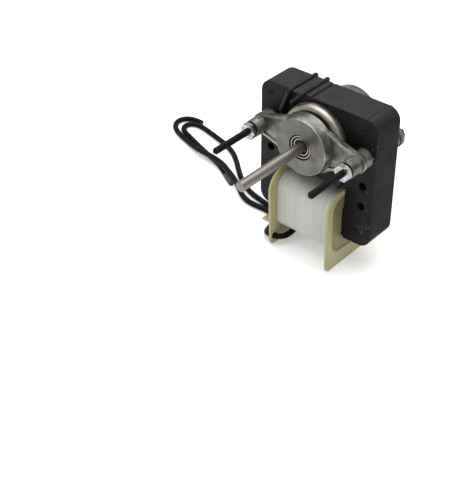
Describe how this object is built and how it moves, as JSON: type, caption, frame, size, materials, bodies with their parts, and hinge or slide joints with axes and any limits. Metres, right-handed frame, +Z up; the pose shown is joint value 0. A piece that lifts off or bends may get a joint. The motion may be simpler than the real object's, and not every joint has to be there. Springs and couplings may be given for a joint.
{
  "type": "shaded pole motor",
  "caption": "Open C-frame shaded pole motor with die-cast bearing brackets, a long plain shaft, mounting studs with nuts, and a bobbin-wound coil with leads.",
  "frame": {"origin": "on the shaft's axis, in the plane of the nuts' front faces, where the motor mounts", "axes": "-Y along the shaft towards its free end, +Z up with the coil below the shaft, +X to the right as seen from the shaft's free end"},
  "size_m": [0.2106, 0.1356, 0.107],
  "materials": {
    "core_steel": "satin black varnish over steel laminations",
    "bobbin_plastic": "pale yellow nylon, satin",
    "copper_wire": "enamelled copper wire",
    "coil_tape": "white tape, satin",
    "coated_copper": "copper under black varnish, worn at the edges",
    "rotor_steel": "turned steel laminations",
    "cage_aluminium": "die-cast aluminium, satin",
    "shaft_steel": "ground steel",
    "zinc_casting": "die-cast zinc, satin grey",
    "bronze": "sintered oil-filled bronze",
    "plated_steel": "bright zinc plating",
    "felt": "oil-soaked wool felt",
    "washer_plastic": "natural nylon",
    "black_steel": "black oxide",
    "lead_insulation": "black vinyl insulation, satin"
  },
  "bodies": {
    "stator": {"c_frame_stack": "core_steel", "yoke_bar": "core_steel", "bobbin": "bobbin_plastic", "winding": "copper_wire", "coil_tape": "coil_tape", "upper_long_shading_coil": "coated_copper", "upper_short_shading_coil": "coated_copper", "lower_long_shading_coil": "coated_copper", "lower_short_shading_coil": "coated_copper", "front_bracket": "zinc_casting", "rear_bracket": "zinc_casting", "front_bearing": "bronze", "rear_bearing": "bronze", "front_bearing_retainer": "plated_steel", "rear_bearing_retainer": "plated_steel", "front_oil_felt": "felt", "rear_oil_felt": "felt", "front_felt_cap": "plated_steel", "rear_felt_cap": "plated_steel", "left_through_bolt": "black_steel", "right_through_bolt": "black_steel", "left_lock_washer": "black_steel", "right_lock_washer": "black_steel", "left_nut": "plated_steel", "right_nut": "plated_steel", "lead_1": "lead_insulation", "lead_2": "lead_insulation"},
    "rotor": {"rotor_core": "rotor_steel", "rotor_cage": "cage_aluminium", "shaft": "shaft_steel", "front_thrust_washer": "washer_plastic", "rear_thrust_washer": "washer_plastic", "front_spacer": "plated_steel", "rear_spacer": "plated_steel"}
  },
  "joints": [
    {"name": "rotor_spin", "type": "hinge", "parent": "stator", "child": "rotor", "pos_m": [0, 0, 0], "axis": [0, -1, 0], "continuous": true}
  ]
}
